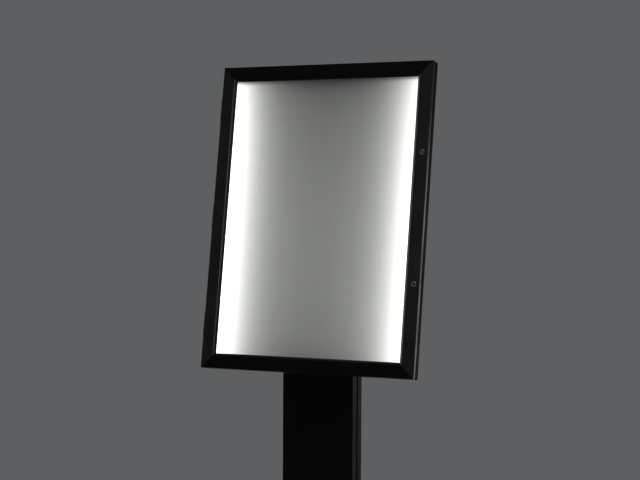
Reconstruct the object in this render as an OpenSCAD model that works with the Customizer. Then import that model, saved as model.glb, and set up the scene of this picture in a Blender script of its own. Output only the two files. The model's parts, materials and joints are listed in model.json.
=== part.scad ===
// Free-standing lit poster display: a shallow lockable light case, tilted back on a flat post
// with a heavy steel base. Millimetres, +Z up, origin on the floor under the middle of the post.
// Inside the head, u runs to the right, v runs from the door's face to the back, w runs up the door.

/* [Door and case] */
// Width of the visible display window
window_w = 404; // [402:1:412]
// Height of the visible display window
window_h = 571; // [550:1:600]
// Width of the face of each door rail and stile
frame_w = 31.5; // [31:0.5:34]
// Depth of the door frame
door_t = 9.5; // [9.5:0.5:10.5]
// Dark joint between door and case, filled by the weather seal
seal_gap = 3.5; // [3:0.5:4]
// Depth of the case behind the joint
case_t = 13; // [13:0.5:15]
// Wall of the door and case extrusions
wall = 2; // [1.8:0.1:2]
// Radius of the door's outer front edge
edge_r = 1.2; // [0.5:0.1:1.8]
// Width of the roll-over beside the glass
roll_w = 9; // [6:0.5:9]
// Glazing thickness
glass_t = 3; // [2.5:0.5:3]

/* [Tilt] */
// Backward lean of the head at rest, degrees
tilt = 9.5; // [8:0.5:12]
// Height of the tilt pivot above the floor
pivot_z = 990; // [900:10:1100]
// Distance from the head's lower edge up to the pivot
pivot_w = 241; // [235:1:250]
// Distance from the door's face back to the pivot
pivot_v = 56; // [56:1:60]
// Radius of the pivot bolt
pivot_r = 4; // [4:0.5:5]

/* [Post] */
// Width of the post across both uprights
post_w = 156; // [150:1:170]
// Depth of the post
post_d = 48; // [48:1:54]
// Width of the front face of each upright
upright_w = 34; // [32:1:36]
// Step back from the uprights to the infill panels
panel_step = 1.5; // [1.2:0.1:1.5]

/* [Base] */
// Width of the steel base plate
base_w = 420; // [400:10:480]
// Depth of the steel base plate
base_d = 380; // [360:10:420]
// Thickness of the steel base plate
base_t = 8; // [8:1:12]
// Corner radius of the base plate
base_corner_r = 14; // [8:1:18]
// Thickness of the rubber sheet under the plate
pad_t = 2; // [1.5:0.5:3]
// Radius of the four floor fixing holes
floor_hole_r = 5.5; // [4.5:0.5:6]
// Spacing of the floor fixing holes across the base
floor_hole_x = 360; // [340:10:370]
// Spacing of the floor fixing holes front to back
floor_hole_y = 320; // [300:10:330]

/* [Lights] */
// Number of light emitting diodes on each strip
led_count = 27; // [20:1:28]
// Distance between neighbouring diodes
led_pitch = 20; // [18:1:20]

/* [Locks] */
// Distance of each lock from mid-height
lock_w = 131; // [120:1:140]
// Distance of the lock axis from the door's outer edge
lock_in = 11.5; // [11.5:0.1:11.8]
// Radius of the lock's visible flange
lock_flange_r = 5; // [4.8:0.1:5.2]

/* [Hidden] */
$fn = 48;

black = "#141517";
head_w = window_w + 2 * frame_w;
head_h = window_h + 2 * frame_w;
case_v = door_t + seal_gap;
head_t = case_v + case_t;
fit = 0.05;
gap = 0.1;

base_top = pad_t + base_t;
cap_t = 3;
yoke_t = 6;
yoke_drop = 20;
post_top = pivot_z - yoke_drop - yoke_t - cap_t;
post_h = post_top - base_top;
half_w = post_w / 2;
half_d = post_d / 2;
inner_x = half_w - upright_w;
post_wall = 2.5;
panel_t = 2;
slot_depth = 6;
side_groove_w = 6;
side_groove_d = 5;
block_h = 30;

// Tilt hinge: lugs on the head turn between the ears of the yoke
lug_t = 5;
lug_x = 34;
lug_r = 12;
washer_t = 1;
ear_x = lug_x + lug_t + washer_t;
ear_t = 6;
ear_r = 13;
bracket_t = 3;
bracket_w = 130;
bracket_h = 120;
bracket_low = 25;

// Depths inside the head, measured back from the door's face
seat_v = 4.2;
roll_v = seat_v - 0.4;
roll_turn = 2 * atan(roll_v / roll_w);
roll_r = roll_w / sin(roll_turn);
glass_in = 20;
bead_back_v = 9.3;
door_inner_a = 19;
rim_t = 1.5;
rim_in = 6.5;
ledge_in = 14;
ledge_v = head_t - 4;
panel_v = head_t - 2.5;
panel_edge = 3;
back_t = 2;
liner_t = 1;

// Hinge on the door's left edge
hinge_out = 2;
hinge_v = (door_t + case_v) / 2;
knuckle_r = 2.6;
pin_r = 1.2;
hinge_h = 50;
knuckle_h = 15;
knuckle_gap = 0.3;
leaf_t = 1.2;
leaf_near = 2.9;
hinge_ws = [90, head_h / 2, head_h - 90];
hinge_screw_v = [hinge_v - 5.8, hinge_v + 7.8];
hinge_screw_w = 17;
hinge_screw_r = 1;
hinge_head_r = 2;
hinge_head_t = 0.8;

// Light strips on the case's side walls
board_t = 1.2;
board_v = 17.2;
board_w = 4.6;
board_low = 16;
board_len = head_h - 2 * board_low;
led_size = [1, 2.8, 3.5];
cover_a = 5.6;
cover_wall = 0.8;

// Cam locks
lock_body_r = 4.2;
plug_r = 3.15;
housing_back_v = 13;
cam_v = case_v + rim_t + 0.5;
cam_t = 1.5;
cam_w = 8;
cam_reach = 8;
lock_u = head_w / 2 - lock_in;
lock_flange_t = 0.8;
key_w = 0.8;
key_h = 3.6;
square_end = 3.6;

// Power inlet on the back, low on the right
inlet_u = 105;
inlet_w = 22;
inlet_r = 4;
inlet_front_v = 16;
inlet_flange_r = 6;
inlet_flange_t = 1.5;
jack_r = 2.75;
jack_pin_r = 1.05;
jack_depth = 9;

// Wire routes in the head, from the inlet along the bottom channel to each light strip
wire_r = 0.8;
wire_end_u = head_w / 2 - 3.9;
left_route = [[103, 15.9, 22], [103, 15, 22], [103, 14.2, 20.5], [102, 14, 17], [100, 14.5, 12], [95, 16, 8],
    [88, 17.5, 6], [78, 18, 5], [0, 18, 5], [-200, 18, 5], [-215, 18, 5.2], [-223, 18.4, 6.5],
    [-228, 19, 9.5], [-wire_end_u, 19.4, 13], [-wire_end_u, 19.4, board_low - gap]];
right_route = [[107, 15.9, 22], [107, 15, 22], [107, 14.2, 20.5], [108, 14, 17], [110, 14.5, 12],
    [115, 16, 8], [122, 17.5, 6], [132, 18, 5], [200, 18, 5], [215, 18, 5.2], [223, 18.4, 6.5],
    [228, 19, 9.5], [wire_end_u, 19.4, 13], [wire_end_u, 19.4, board_low - gap]];

// ---------- shared shapes ----------

// Puts a shape drawn in head coordinates (u, v, w) in its place on the stand
module in_head() {
    translate([0, 0, pivot_z]) rotate([-tilt, 0, 0]) translate([0, -pivot_v, -pivot_w]) children();
}

// Cylinder along v, from depth v1 to depth v2
module along_v(u, v1, v2, w, r) {
    translate([u, v2, w]) rotate([90, 0, 0]) cylinder(h = v2 - v1, r = r);
}

// Cylinder along X, from x1 to x2, centred at height z and depth y
module along_x(x1, x2, y, z, r) {
    translate([x1, y, z]) rotate([0, 90, 0]) cylinder(h = x2 - x1, r = r);
}

// Length of an extrusion, mitred at 45 degrees at both ends; the profile is (inward, depth)
module mitred_bar(length) {
    intersection() {
        rotate([0, -90, 0]) linear_extrude(height = length, center = true) children();
        rotate([90, 0, 0]) linear_extrude(height = 200, center = true)
            polygon([[-length / 2, 0], [length / 2, 0], [0, length / 2]]);
    }
}

module bottom_side() { in_head() mitred_bar(head_w) children(); }
module top_side() {
    in_head() translate([0, 0, head_h]) rotate([0, 180, 0]) mitred_bar(head_w) children();
}
module right_side() {
    in_head() translate([head_w / 2, 0, head_h / 2]) rotate([0, -90, 0]) mitred_bar(head_h) children();
}
module left_side() {
    in_head() translate([-head_w / 2, 0, head_h / 2]) rotate([0, 90, 0]) mitred_bar(head_h) children();
}

// Four copies at the corners of a rectangle
module at_corners(dx, dy) {
    for (sx = [-1, 1], sy = [-1, 1]) translate([sx * dx / 2, sy * dy / 2, 0]) children();
}

function unit(v) = v / norm(v);
function heading(points, i) =
    unit(points[min(i + 1, len(points) - 1)] - points[max(i - 1, 0)]);
function side_of(d) = unit(cross(d, abs(d[1]) < 0.9 ? [0, 1, 0] : [1, 0, 0]));

// Round tube swept along a list of points
module tube(points, r, sides = 8) {
    rings = [for (i = [0:len(points) - 1])
        let (d = heading(points, i), a = side_of(d), b = cross(d, a))
        for (k = [0:sides - 1]) points[i] + r * (cos(360 * k / sides) * a + sin(360 * k / sides) * b)];
    last = (len(points) - 1) * sides;
    walls = [for (i = [0:len(points) - 2], k = [0:sides - 1])
        let (n = (k + 1) % sides)
        [i * sides + k, (i + 1) * sides + k, (i + 1) * sides + n, i * sides + n]];
    ends = [[for (k = [0:sides - 1]) k], [for (k = [sides - 1:-1:0]) last + k]];
    polyhedron(points = rings, faces = concat(walls, ends));
}

// ---------- base and post ----------

// Rectangle with round corners
module rounded_plate(w, d, r) {
    square([w - 2 * r, d], center = true);
    square([w, d - 2 * r], center = true);
    at_corners(w - 2 * r, d - 2 * r) circle(r = r);
}

module floor_holes(h) {
    at_corners(floor_hole_x, floor_hole_y) translate([0, 0, -1]) cylinder(h = h + 2, r = floor_hole_r);
}

// The rubber stops short of the plate's edge; counterbores take the screw heads
pad_in = 6;
foot_screw_x = 2 * (half_w - upright_w / 2 - 4);
foot_screw_y = 24;
foot_screw_r = 4;
foot_head_r = 7;
foot_head_t = 4.5;
foot_screw_h = 24;
foot_key_r = 3;

module base_pad() color("#1b1b1b") {
    difference() {
        linear_extrude(height = pad_t)
            rounded_plate(base_w - 2 * pad_in, base_d - 2 * pad_in, base_corner_r - pad_in / 2);
        floor_holes(pad_t);
        at_corners(foot_screw_x, foot_screw_y) translate([0, 0, -1])
            cylinder(h = pad_t + 2, r = foot_head_r + 1);
    }
}

module base_plate() color(black) {
    difference() {
        translate([0, 0, pad_t]) linear_extrude(height = base_t) rounded_plate(base_w, base_d, base_corner_r);
        translate([0, 0, pad_t]) floor_holes(base_t);
        at_corners(foot_screw_x, foot_screw_y) {
            translate([0, 0, pad_t - 1]) cylinder(h = base_t + 2, r = foot_screw_r + gap);
            translate([0, 0, pad_t - 1]) cylinder(h = foot_head_t + 1, r = foot_head_r + gap);
        }
    }
}

module base_screws() color("#8c8f92") {
    at_corners(foot_screw_x, foot_screw_y) {
        difference() {
            translate([0, 0, pad_t]) cylinder(h = foot_head_t, r = foot_head_r);
            translate([0, 0, pad_t - 1]) cylinder(h = foot_head_t - 1, r = foot_key_r, $fn = 6);
        }
        translate([0, 0, pad_t + foot_head_t]) cylinder(h = foot_screw_h, r = foot_screw_r);
    }
}

// Open chamber inside the right-hand upright, drawn smaller by clear
module chamber(clear) {
    in_x = inner_x + slot_depth + post_wall + clear;
    out_x = half_w - post_wall - clear;
    notch_x = half_w - side_groove_d - post_wall - clear;
    notch_y = side_groove_w / 2 + post_wall + clear;
    top_y = half_d - post_wall - clear;
    polygon([[in_x, -top_y], [out_x, -top_y], [out_x, -notch_y], [notch_x, -notch_y],
        [notch_x, notch_y], [out_x, notch_y], [out_x, top_y], [in_x, top_y]]);
}

module upright_profile() {
    difference() {
        translate([inner_x, -half_d]) square([upright_w, post_d]);
        chamber(0);
        translate([half_w - side_groove_d, -side_groove_w / 2]) square([side_groove_d + 1, side_groove_w]);
        for (side = [-1, 1]) {
            slot_y = side * (half_d - panel_step - panel_t / 2);
            translate([inner_x - 1, slot_y - panel_t / 2 - gap]) square([slot_depth + 1, panel_t + 2 * gap]);
        }
    }
}

module upright_right() color(black)
    translate([0, 0, base_top]) linear_extrude(height = post_h) upright_profile();

module upright_left() color(black)
    translate([0, 0, base_top]) mirror([1, 0, 0]) linear_extrude(height = post_h) upright_profile();

module post_panel(side) {
    reach = inner_x + slot_depth - 0.5;
    low_y = side * (half_d - panel_step - panel_t / 2) - panel_t / 2;
    translate([-reach, low_y, base_top]) cube([2 * reach, panel_t, post_h]);
}

module post_front_panel() color(black) post_panel(-1);
module post_rear_panel() color(black) post_panel(1);

module end_block(z, drill_x, drill_y, drill_r) {
    difference() {
        translate([0, 0, z]) linear_extrude(height = block_h) chamber(gap);
        for (sy = [-1, 1])
            translate([drill_x, sy * drill_y, z - 1]) cylinder(h = block_h + 2, r = drill_r + gap);
    }
}

module foot_blocks() color("#9a9c9e") {
    end_block(base_top, foot_screw_x / 2, foot_screw_y / 2, foot_screw_r);
    mirror([1, 0, 0]) end_block(base_top, foot_screw_x / 2, foot_screw_y / 2, foot_screw_r);
}

yoke_screw_x = 114;
yoke_screw_y = 26;
yoke_screw_r = 3;
yoke_screw_h = 27;
yoke_head_r = 5;
yoke_head_t = 4;
yoke_key_r = 2.5;

module post_top_blocks() color("#9a9c9e") {
    end_block(post_top - block_h, yoke_screw_x / 2, yoke_screw_y / 2, yoke_screw_r);
    mirror([1, 0, 0]) end_block(post_top - block_h, yoke_screw_x / 2, yoke_screw_y / 2, yoke_screw_r);
}

module post_cap() color(black) {
    difference() {
        translate([-half_w, -half_d, post_top]) cube([post_w, post_d, cap_t]);
        at_corners(yoke_screw_x, yoke_screw_y) translate([0, 0, post_top - 1])
            cylinder(h = cap_t + 2, r = yoke_screw_r + gap);
    }
}

// ---------- tilt hinge ----------

yoke_base_w = 130;
yoke_base_d = 40;
yoke_z = post_top + cap_t;

module ear(x, r, thick) {
    rotate([90, 0, 90]) translate([0, 0, x]) linear_extrude(height = thick) union() {
        translate([0, pivot_z]) circle(r = r);
        polygon([[-r, pivot_z], [r, pivot_z], [r + 3, yoke_z], [-r - 3, yoke_z]]);
    }
}

module tilt_yoke() color(black) {
    difference() {
        union() {
            translate([-yoke_base_w / 2, -yoke_base_d / 2, yoke_z]) cube([yoke_base_w, yoke_base_d, yoke_t]);
            ear(ear_x, ear_r, ear_t);
            ear(-ear_x - ear_t, ear_r, ear_t);
        }
        along_x(-ear_x - ear_t - 1, ear_x + ear_t + 1, 0, pivot_z, pivot_r + fit);
        at_corners(yoke_screw_x, yoke_screw_y) translate([0, 0, yoke_z - 1])
            cylinder(h = yoke_t + 2, r = yoke_screw_r + gap);
    }
}

module yoke_screws() color("#8c8f92") {
    at_corners(yoke_screw_x, yoke_screw_y) {
        difference() {
            translate([0, 0, yoke_z + yoke_t]) cylinder(h = yoke_head_t, r = yoke_head_r);
            translate([0, 0, yoke_z + yoke_t + 1.5]) cylinder(h = yoke_head_t, r = yoke_key_r, $fn = 6);
        }
        translate([0, 0, yoke_z + yoke_t - yoke_screw_h]) cylinder(h = yoke_screw_h, r = yoke_screw_r);
    }
}

outer_washer_t = 1.5;
washer_r = 9;
bolt_face = ear_x + ear_t + outer_washer_t;
bolt_head_t = 6;
bolt_head_r = 7;
bolt_key_r = 3.2;
nut_t = 7;
nut_r = 7.5;

module pivot_bolt() color("#8c8f92") {
    along_x(-bolt_face, bolt_face + nut_t + 4, 0, pivot_z, pivot_r);
    difference() {
        along_x(-bolt_face - bolt_head_t, -bolt_face, 0, pivot_z, bolt_head_r);
        translate([-bolt_face - bolt_head_t - 1, 0, pivot_z]) rotate([0, 90, 0])
            cylinder(h = 4, r = bolt_key_r, $fn = 6);
    }
}

module pivot_nut() color("#8c8f92") {
    difference() {
        translate([bolt_face, 0, pivot_z]) rotate([0, 90, 0]) cylinder(h = nut_t, r = nut_r, $fn = 6);
        along_x(bolt_face - 1, bolt_face + nut_t + 1, 0, pivot_z, pivot_r + fit);
    }
}

module washer(x, thick) {
    difference() {
        along_x(x, x + thick, 0, pivot_z, washer_r);
        along_x(x - 1, x + thick + 1, 0, pivot_z, pivot_r + fit);
    }
}

module pivot_washers() color("#a7a9ab") {
    washer(ear_x + ear_t, outer_washer_t);
    washer(-bolt_face, outer_washer_t);
    washer(ear_x - washer_t, washer_t);
    washer(-ear_x, washer_t);
}

bracket_screw_u = 104;
bracket_screw_w = 80;
bracket_v = panel_v + back_t;
bracket_screw_r = 2;
bracket_head_r = 3.8;
bracket_head_t = 2;
bracket_key_r = 1.3;

module head_bracket() color(black) {
    difference() {
        in_head() union() {
            translate([-bracket_w / 2, bracket_v, pivot_w - bracket_low])
                cube([bracket_w, bracket_t, bracket_h]);
            for (u = [-lug_x - lug_t + fit, lug_x]) {
                along = lug_t - fit;
                translate([u, pivot_v, pivot_w]) rotate([0, 90, 0]) cylinder(h = along, r = lug_r);
                translate([u, bracket_v + 1, pivot_w - lug_r])
                    cube([along, pivot_v - bracket_v - 1, 2 * lug_r]);
            }
        }
        along_x(-60, 60, 0, pivot_z, pivot_r + fit);
        in_head() bracket_holes(bracket_v - 1, bracket_v + bracket_t + 1, bracket_screw_r + gap);
    }
}

// Screw places on the head bracket: three on each side, above the lugs
module bracket_holes(v1, v2, r) {
    for (u = [-bracket_screw_u / 2, bracket_screw_u / 2], k = [0:2])
        along_v(u, v1, v2, pivot_w + 8 + k * bracket_screw_w / 2, r);
}

module bracket_screws() color("#8c8f92") in_head() {
    face = bracket_v + bracket_t;
    bracket_holes(panel_v, face, bracket_screw_r);
    difference() {
        bracket_holes(face, face + bracket_head_t, bracket_head_r);
        bracket_holes(face + 0.8, face + bracket_head_t + 1, bracket_key_r);
    }
}

// ---------- light case ----------

module case_profile() {
    polygon([[0, case_v], [rim_in, case_v], [rim_in, case_v + rim_t], [wall, case_v + rim_t],
        [wall, ledge_v], [ledge_in, ledge_v], [ledge_in, panel_v], [wall, panel_v], [wall, head_t],
        [0, head_t]]);
}

module case_rail_bottom() color(black) bottom_side() case_profile();
module case_rail_top() color(black) top_side() case_profile();
module case_stile_left() color(black) difference() {
    left_side() case_profile();
    hinge_screw_set(1, 0, wall + 1, hinge_screw_r + gap);
}
module case_stile_right() color(black) right_side() case_profile();

// L-shaped flat cleat in each corner
module corner_cleats(in1, in2, v1, v2, arm) {
    for (su = [-1, 1], top = [0, 1]) in_head()
        translate([su * head_w / 2, 0, top * head_h]) mirror([su > 0 ? 1 : 0, 0, 0]) mirror([0, 0, top])
            translate([0, v2, 0]) rotate([90, 0, 0]) linear_extrude(height = v2 - v1)
                polygon([[in1, in1], [arm, in1], [arm, in2], [in2, in2], [in2, arm], [in1, arm]]);
}

module case_corner_cleats() color("#9a9c9e") corner_cleats(6.5, 13, ledge_v - 1.5, ledge_v, 40);

back_screw_in = 8.5;
back_screw_us = [-200, -100, 100, 200];
back_screw_step = 190;
back_screw_r = 1.5;
back_head_r = 3;
back_head_t = 1.5;
back_key_r = 1;

module back_screw_set(v1, v2, r) {
    for (u = back_screw_us, w = [back_screw_in, head_h - back_screw_in]) along_v(u, v1, v2, w, r);
    for (side = [-1, 1], k = [-1:1])
        along_v(side * (head_w / 2 - back_screw_in), v1, v2, head_h / 2 + back_screw_step * k, r);
}

module white_liner() color("#e9eae6") in_head() {
    edge = ledge_in + 0.3;
    difference() {
        translate([-head_w / 2 + edge, panel_v - liner_t, edge])
            cube([head_w - 2 * edge, liner_t, head_h - 2 * edge]);
        along_v(inlet_u, panel_v - 3, panel_v + 1, inlet_w, inlet_flange_r + 2 * gap);
    }
}

module back_panel() color(black) in_head() {
    difference() {
        translate([-head_w / 2 + panel_edge, panel_v, panel_edge])
            cube([head_w - 2 * panel_edge, back_t, head_h - 2 * panel_edge]);
        back_screw_set(panel_v - 1, head_t, back_screw_r + gap);
        bracket_holes(panel_v - 1, head_t, bracket_screw_r + gap);
        along_v(inlet_u, panel_v - 1, head_t, inlet_w, inlet_r + gap);
    }
}

module back_panel_screws() color("#8c8f92") in_head() {
    back_screw_set(panel_v, bracket_v, back_screw_r);
    difference() {
        back_screw_set(bracket_v, bracket_v + back_head_t, back_head_r);
        back_screw_set(bracket_v + 0.7, bracket_v + back_head_t + 1, back_key_r);
    }
}

// Four strips on the front rim of the case; the upright ones run the full height
module seal_strips() color("#0b0b0b") in_head() {
    strip_w = 3.2;
    near = 0.8;
    far = near + strip_w;
    v1 = door_t + 0.3;
    deep = case_v - v1;
    for (w = [near, head_h - far])
        translate([-head_w / 2 + far + 0.2, v1, w]) cube([head_w - 2 * (far + 0.2), deep, strip_w]);
    for (u = [-head_w / 2 + near, head_w / 2 - far])
        translate([u, v1, near]) cube([strip_w, deep, head_h - 2 * near]);
}

// ---------- lights and wiring ----------

module led_board(side) {
    in_head() translate([side * (head_w / 2 - wall - board_t / 2), board_v + board_w / 2, head_h / 2])
        cube([board_t, board_w, board_len], center = true);
}
module led_board_left() color("#dfe3e0") led_board(-1);
module led_board_right() color("#dfe3e0") led_board(1);

module led_row(side) {
    for (k = [0:led_count - 1])
        in_head() translate([side * (head_w / 2 - wall - board_t - led_size[0] / 2), board_v + board_w / 2,
            head_h / 2 + (k - (led_count - 1) / 2) * led_pitch]) cube(led_size, center = true);
}
module leds_left() color("#f6f3c8") led_row(-1);
module leds_right() color("#f6f3c8") led_row(1);

// Opal cover clipped over a light strip; a channel section closed towards the window
module diffuser(side) {
    in_head() translate([side * (head_w / 2), 0, 0]) mirror([side > 0 ? 1 : 0, 0, 0])
        translate([0, 0, board_low + 4]) linear_extrude(height = board_len - 8)
            polygon([[wall + board_t, board_v], [cover_a, board_v - 0.5], [cover_a, board_v + board_w],
                [wall + board_t, board_v + board_w], [wall + board_t, board_v + board_w - cover_wall],
                [cover_a - cover_wall, board_v + board_w - cover_wall],
                [cover_a - cover_wall, board_v + cover_wall - 0.5],
                [wall + board_t, board_v + cover_wall]]);
}
module diffuser_left() color("#f4f6f4") diffuser(-1);
module diffuser_right() color("#f4f6f4") diffuser(1);

module wire_left() color("#b3261e") in_head() tube(left_route, wire_r);
module wire_right() color("#b3261e") in_head() tube(right_route, wire_r);

module dc_inlet() color("#101010") in_head() {
    face = bracket_v + inlet_flange_t;
    difference() {
        union() {
            along_v(inlet_u, bracket_v, face, inlet_w, inlet_flange_r);
            along_v(inlet_u, inlet_front_v, bracket_v, inlet_w, inlet_r);
        }
        along_v(inlet_u, face - jack_depth, face + 1, inlet_w, jack_r);
    }
    along_v(inlet_u, face - jack_depth, face - 1, inlet_w, jack_pin_r);
}

module inlet_nut() color("#8c8f92") in_head() {
    difference() {
        translate([inlet_u, panel_v, inlet_w]) rotate([90, 0, 0])
            cylinder(h = 2, r = inlet_flange_r, $fn = 6);
        along_v(inlet_u, panel_v - 3, panel_v + 1, inlet_w, inlet_r + fit);
    }
}

// ---------- door hinges ----------

// Knuckle around the hinge axis, from height w1 to w2
module knuckle(w1, w2, bore_r) {
    translate([-head_w / 2 - hinge_out, hinge_v, w1]) difference() {
        cylinder(h = w2 - w1, r = knuckle_r);
        translate([0, 0, -1]) cylinder(h = w2 - w1 + 2, r = bore_r);
    }
}

// Flat leaf on the side face; toward is +1 for the case and -1 for the door
module leaf_plate(w, toward, tabs) {
    far = toward > 0 ? head_t - 2 - hinge_v : hinge_v - 1.5;
    low = toward > 0 ? hinge_v + leaf_near : hinge_v - far;
    translate([-head_w / 2 - leaf_t, low, w - hinge_h / 2]) cube([leaf_t, far - leaf_near, hinge_h]);
    for (tab = tabs) {
        tab_v = toward > 0 ? hinge_v + 1.4 : hinge_v - leaf_near - 0.1;
        translate([-head_w / 2 - leaf_t, tab_v, w + tab[0]]) cube([leaf_t, leaf_near - 1.3, tab[1] - tab[0]]);
    }
}

// Cylinders along u through the left side wall at every hinge screw, a1 to a2 inward of its face
module hinge_screw_set(toward, a1, a2, r) {
    in_head() for (w = hinge_ws, k = [-1, 1])
        along_x(-head_w / 2 + a1, -head_w / 2 + a2, toward > 0 ? hinge_screw_v[1] : hinge_screw_v[0],
            w + hinge_screw_w * k, r);
}

module hinge_screws(toward) {
    hinge_screw_set(toward, -leaf_t, wall, hinge_screw_r);
    difference() {
        hinge_screw_set(toward, -leaf_t - hinge_head_t, -leaf_t, hinge_head_r);
        hinge_screw_set(toward, -leaf_t - hinge_head_t - 1, -leaf_t - hinge_head_t / 2, 0.8);
    }
}

case_tabs = [[-hinge_h / 2, -hinge_h / 2 + knuckle_h], [hinge_h / 2 - knuckle_h, hinge_h / 2]];
door_tab = [-hinge_h / 2 + knuckle_h + knuckle_gap, hinge_h / 2 - knuckle_h - knuckle_gap];

module hinge_leaves_case() color(black) difference() {
    in_head() for (w = hinge_ws) {
        difference() {
            leaf_plate(w, 1, case_tabs);
            translate([-head_w / 2 - hinge_out, hinge_v, w - hinge_h]) cylinder(h = 2 * hinge_h, r = pin_r);
        }
        for (tab = case_tabs) knuckle(w + tab[0], w + tab[1], pin_r);
    }
    hinge_screw_set(1, -leaf_t - 1, 1, hinge_screw_r + gap);
}

module hinge_leaves_door() color(black) difference() {
    in_head() for (w = hinge_ws) {
        leaf_plate(w, -1, [door_tab]);
        knuckle(w + door_tab[0], w + door_tab[1], pin_r + fit);
    }
    hinge_screw_set(-1, -leaf_t - 1, 1, hinge_screw_r + gap);
}

module hinge_pins() color("#a7a9ab") in_head() {
    for (w = hinge_ws) translate([-head_w / 2 - hinge_out, hinge_v, w - hinge_h / 2]) {
        cylinder(h = hinge_h, r = pin_r);
        translate([0, 0, hinge_h]) cylinder(h = 1, r = 2.2);
        translate([0, 0, -1]) cylinder(h = 1, r = 2.2);
    }
}

module hinge_screws_case() color("#8c8f92") hinge_screws(1);
module hinge_screws_door() color("#8c8f92") hinge_screws(-1);

// ---------- door ----------

// Flat face with a rounded outer edge, rolling over in an arc towards the glass
module door_profile() {
    outer_edge = [for (k = [0:3]) [edge_r * (1 - cos(30 * k)), edge_r * (1 - sin(30 * k))]];
    inner_roll = [for (k = [0:6]) let (turn = k * roll_turn / 6)
        [frame_w - roll_w + roll_r * sin(turn), roll_r * (1 - cos(turn))]];
    walls = [[frame_w, seat_v], [door_inner_a, seat_v], [door_inner_a, door_t],
        [door_inner_a - wall, door_t], [door_inner_a - wall, wall], [wall, wall], [wall, door_t],
        [0, door_t]];
    polygon(concat(outer_edge, inner_roll, walls));
}

module door_rail_bottom() color(black) bottom_side() door_profile();
module door_rail_top() color(black) top_side() door_profile();
module door_stile_left() color(black) difference() {
    left_side() door_profile();
    hinge_screw_set(-1, 0, wall + 1, hinge_screw_r + gap);
}
module door_stile_right() color(black) difference() {
    right_side() door_profile();
    in_head() for (k = [-1, 1]) along_v(lock_u, -1, wall + 1, head_h / 2 + k * lock_w, lock_body_r + gap);
}

module door_corner_cleats() color("#9a9c9e") corner_cleats(4, 15, wall, wall + 5, 34);

module glazing() color("#dfe8ea", 0.3) in_head()
    translate([-head_w / 2 + glass_in, seat_v, glass_in])
        cube([head_w - 2 * glass_in, glass_t, head_h - 2 * glass_in]);

// Four snap-in beads behind the glazing; their inner edges stop just short of the door's own
module glazing_beads() color("#17181a") in_head() {
    v1 = seat_v + glass_t;
    deep = bead_back_v - v1;
    edge = door_inner_a + gap;
    bead_w = frame_w - 1 - edge;
    for (w = [edge, head_h - edge - bead_w])
        translate([-head_w / 2 + edge, v1, w]) cube([head_w - 2 * edge, deep, bead_w]);
    for (u = [-head_w / 2 + edge, head_w / 2 - edge - bead_w])
        translate([u, v1, edge + bead_w + gap])
            cube([bead_w, deep, head_h - 2 * (edge + bead_w + gap)]);
}

// ---------- cam locks ----------

module lock_housing(k) {
    w = head_h / 2 + k * lock_w;
    in_head() difference() {
        union() {
            along_v(lock_u, -lock_flange_t, 0, w, lock_flange_r);
            along_v(lock_u, -gap, housing_back_v, w, lock_body_r);
        }
        along_v(lock_u, -lock_flange_t - 1, housing_back_v + 1, w, plug_r + fit);
    }
}

module lock_plug(k) {
    w = head_h / 2 + k * lock_w;
    in_head() difference() {
        along_v(lock_u, -0.5, cam_v, w, plug_r);
        translate([lock_u, 1, w]) cube([key_w, 6, key_h], center = true);
    }
    in_head() translate([lock_u, cam_v + cam_t / 2, w]) cube([square_end, cam_t, square_end], center = true);
}

// Flat cam hanging down from the plug when the lock is open
module lock_cam(k) {
    w = head_h / 2 + k * lock_w;
    in_head() translate([lock_u, cam_v + cam_t, w]) rotate([90, 0, 0]) linear_extrude(height = cam_t)
        difference() {
            union() {
                circle(r = cam_w / 2);
                translate([-cam_w / 2, -cam_reach]) square([cam_w, cam_reach]);
            }
            square(square_end + 2 * fit, center = true);
        }
}

module cam_screw(k) {
    in_head() difference() {
        along_v(lock_u, cam_v + cam_t, cam_v + cam_t + 1.8, head_h / 2 + k * lock_w, 3);
        translate([lock_u, cam_v + cam_t + 1.8, head_h / 2 + k * lock_w]) cube([0.8, 1.6, 4], center = true);
    }
}

module lock_housing_upper() color("#b9bbbd") lock_housing(1);
module lock_housing_lower() color("#b9bbbd") lock_housing(-1);
module lock_plug_upper() color("#c8cacc") lock_plug(1);
module lock_plug_lower() color("#c8cacc") lock_plug(-1);
module lock_cam_upper() color("#9a9c9e") lock_cam(1);
module lock_cam_lower() color("#9a9c9e") lock_cam(-1);
module cam_screw_upper() color("#8c8f92") cam_screw(1);
module cam_screw_lower() color("#8c8f92") cam_screw(-1);

module lock_nuts() color("#8c8f92") in_head() for (k = [-1, 1]) {
    w = head_h / 2 + k * lock_w;
    difference() {
        translate([lock_u, wall + 2.5, w]) rotate([90, 30, 0]) cylinder(h = 2.5, r = 5.8, $fn = 6);
        along_v(lock_u, wall - 1, wall + 4, w, lock_body_r + fit);
    }
}

base_pad();
base_plate();
base_screws();
foot_blocks();
upright_left();
upright_right();
post_front_panel();
post_rear_panel();
post_top_blocks();
post_cap();
tilt_yoke();
yoke_screws();
pivot_bolt();
pivot_nut();
pivot_washers();
head_bracket();
bracket_screws();
case_rail_bottom();
case_rail_top();
case_stile_left();
case_stile_right();
case_corner_cleats();
white_liner();
back_panel();
back_panel_screws();
led_board_left();
led_board_right();
leds_left();
leds_right();
diffuser_left();
diffuser_right();
wire_left();
wire_right();
dc_inlet();
inlet_nut();
seal_strips();
hinge_leaves_case();
hinge_pins();
hinge_screws_case();
door_rail_bottom();
door_rail_top();
door_stile_left();
door_stile_right();
door_corner_cleats();
glazing();
glazing_beads();
hinge_leaves_door();
hinge_screws_door();
lock_housing_upper();
lock_housing_lower();
lock_nuts();
lock_plug_upper();
lock_cam_upper();
cam_screw_upper();
lock_plug_lower();
lock_cam_lower();
cam_screw_lower();
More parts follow.
